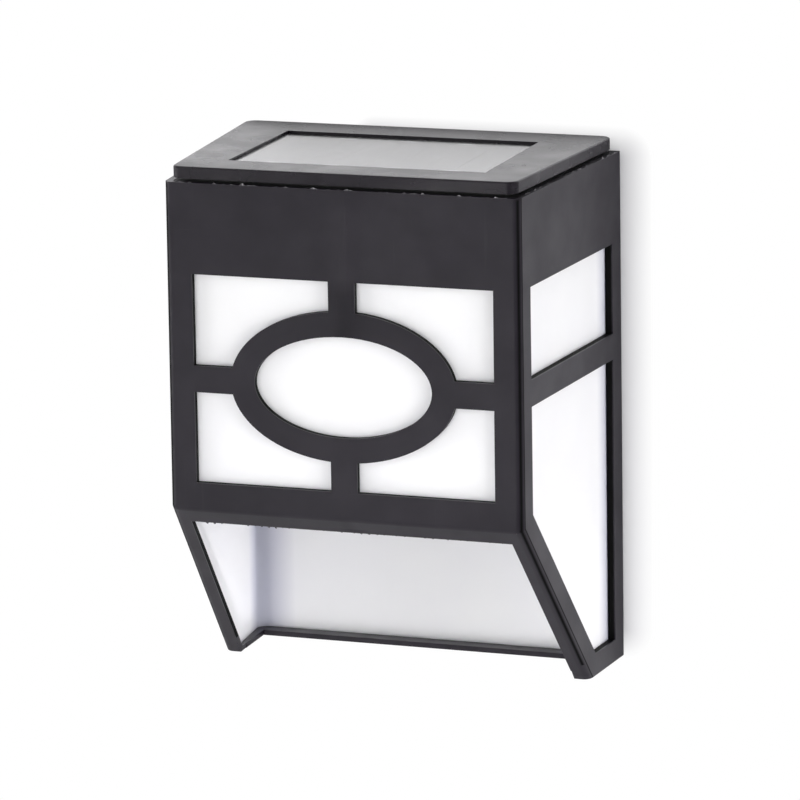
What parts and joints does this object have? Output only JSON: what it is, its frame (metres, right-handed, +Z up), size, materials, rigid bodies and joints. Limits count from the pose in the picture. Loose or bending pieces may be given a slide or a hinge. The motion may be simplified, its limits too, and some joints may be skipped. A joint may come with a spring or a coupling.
{
  "type": "fence light",
  "caption": "Black solar fence light with oval tracery over a white diffuser, a slanted open mouth below and a lift-out solar cap.",
  "frame": {"origin": "on the flat back face, midway between the centres of the two keyhole entries", "axes": "+X to the right seen from the front, +Y from the front into the wall, +Z up"},
  "size_m": [0.1118, 0.0748, 0.1484],
  "materials": {
    "black_plastic": "satin moulded",
    "black_cap_plastic": "satin moulded",
    "black_tray_plastic": "matt moulded",
    "white_plastic": "translucent satin",
    "white_sealant": "cured bead",
    "white_board": "solder mask",
    "silicon": "coated silicon",
    "clear_resin": "cast resin, slight haze",
    "zinc_steel": "zinc plated",
    "battery_wrap": "shrink sleeve",
    "nickel_steel": "nickel plated",
    "green_board": "solder mask",
    "lamp_resin": "clear epoxy",
    "switch_shell": "tinned",
    "switch_knob_plastic": "moulded",
    "black_epoxy": "moulded epoxy",
    "coil_lacquer": "lacquered",
    "red_pvc": "soft PVC",
    "black_pvc": "soft PVC"
  },
  "bodies": {
    "fixture": {"housing": "black_plastic", "diffuser_liner": "white_plastic"},
    "solar_module": {"top_cap": "black_cap_plastic", "panel_sealant": "white_sealant", "panel_backing": "white_board", "solar_cells": "silicon", "panel_resin": "clear_resin", "module_tray": "black_tray_plastic", "cap_screws": "zinc_steel", "battery_cell": "battery_wrap", "contact_positive": "nickel_steel", "contact_negative": "nickel_steel", "circuit_board": "green_board", "led_left": "lamp_resin", "led_right": "lamp_resin", "switch_body": "switch_shell", "driver_chip": "black_epoxy", "inductor_coil": "coil_lacquer", "battery_lead_positive": "red_pvc", "battery_lead_negative": "black_pvc", "panel_lead_positive": "red_pvc", "panel_lead_negative": "black_pvc"},
    "door": {"battery_door": "black_tray_plastic"},
    "switch": {"switch_knob": "switch_knob_plastic"}
  },
  "joints": [
    {"name": "module_lift", "type": "slide", "parent": "fixture", "child": "solar_module", "axis": [0, 0, 1], "range_m": [0, 0.04]},
    {"name": "door_pull", "type": "slide", "parent": "solar_module", "child": "door", "axis": [0, 0, -1], "range_m": [0, 0.01]},
    {"name": "switch_slide", "type": "slide", "parent": "solar_module", "child": "switch", "axis": [1, 0, 0], "range_m": [0, 0.002]}
  ]
}
